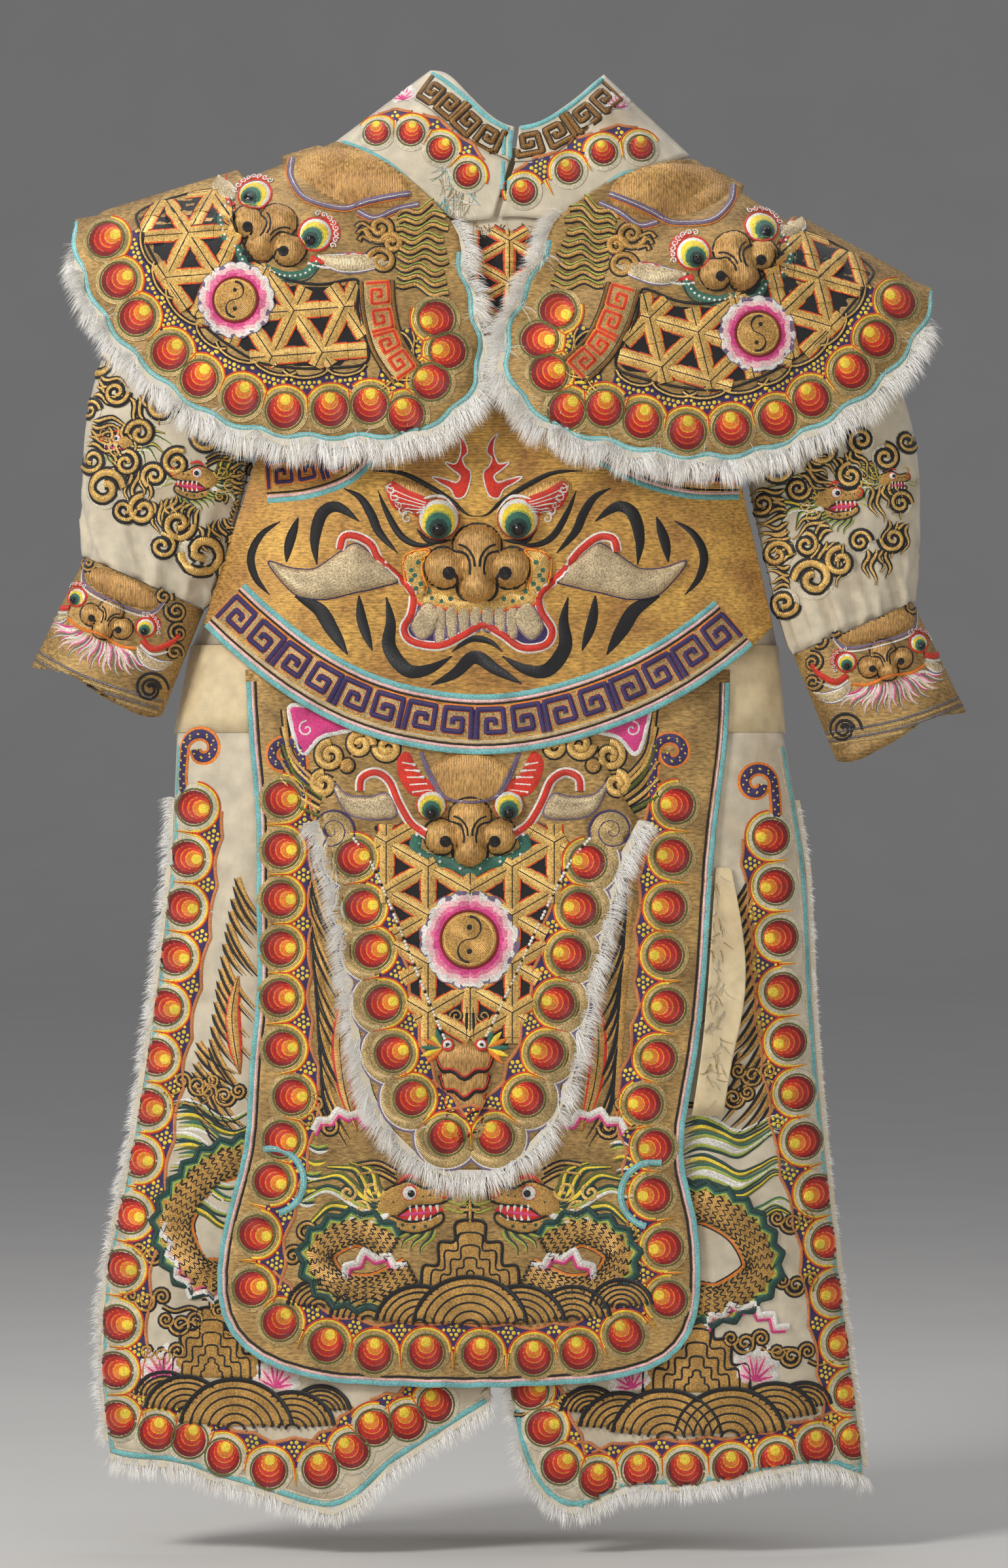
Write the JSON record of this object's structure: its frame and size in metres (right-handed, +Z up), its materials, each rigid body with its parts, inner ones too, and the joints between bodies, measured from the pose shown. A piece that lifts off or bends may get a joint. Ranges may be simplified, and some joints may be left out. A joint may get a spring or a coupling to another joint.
{
  "type": "chinese opera robe",
  "caption": "Hollow stage armour robe with scalloped shoulder capes, padded mask belly panel, embroidered aprons, sleeves with fitted cuffs, skirt panels and white fur edging.",
  "frame": {"origin": "the point between the shoulders at the foot of the stand collar, where a wearer's shoulders or a display support hold the robe", "axes": "+Z up the robe towards the collar, -Y out of the embroidered front, +X to the right of someone who faces the front"},
  "size_m": [0.896, 0.2356, 1.3893],
  "materials": {
    "satin": "aged cream silk satin with coloured silk and gold thread embroidery",
    "couched_gold": "cloth covered with laid metal-wrapped thread",
    "padding": "raised pads covered with metal-wrapped thread",
    "silver_thread": "stuffed pieces covered with tarnished silver thread",
    "fur": "white rabbit fur",
    "cotton": "plain undyed cotton"
  },
  "bodies": {
    "root": {"tunic_front": "satin", "tunic_back": "satin", "waistband": "cotton", "collar_left": "satin", "collar_right": "satin", "yoke_left": "satin", "yoke_right": "satin", "collar_back": "satin", "yoke_back": "satin", "cape_left": "couched_gold", "cape_right": "couched_gold", "cape_fur_left": "fur", "cape_back_fur_left": "fur", "cape_fur_right": "fur", "cape_back_fur_right": "fur", "sleeve_left": "satin", "cuff_left": "couched_gold", "sleeve_right": "satin", "cuff_right": "couched_gold", "belly_panel": "couched_gold", "front_apron": "couched_gold", "tail_apron": "couched_gold", "tail_fur": "fur", "leg_panel_left": "satin", "hem_fur_left": "fur", "side_fur_left": "fur", "leg_panel_right": "satin", "hem_fur_right": "fur", "side_fur_right": "fur", "slit_fur": "fur", "torn_flap": "cotton", "back_panel": "satin", "belly_nose": "padding", "belly_nostril_left": "padding", "belly_nostril_right": "padding", "belly_eye_left": "padding", "belly_eye_right": "padding", "belly_tusk_left": "silver_thread", "belly_tusk_right": "silver_thread", "cape_snout_left": "padding", "cape_flower_left": "padding", "cape_snout_right": "padding", "cape_flower_right": "padding", "tail_snout": "padding", "tail_flower": "padding", "tail_beetle": "padding"}
  },
  "joints": []
}
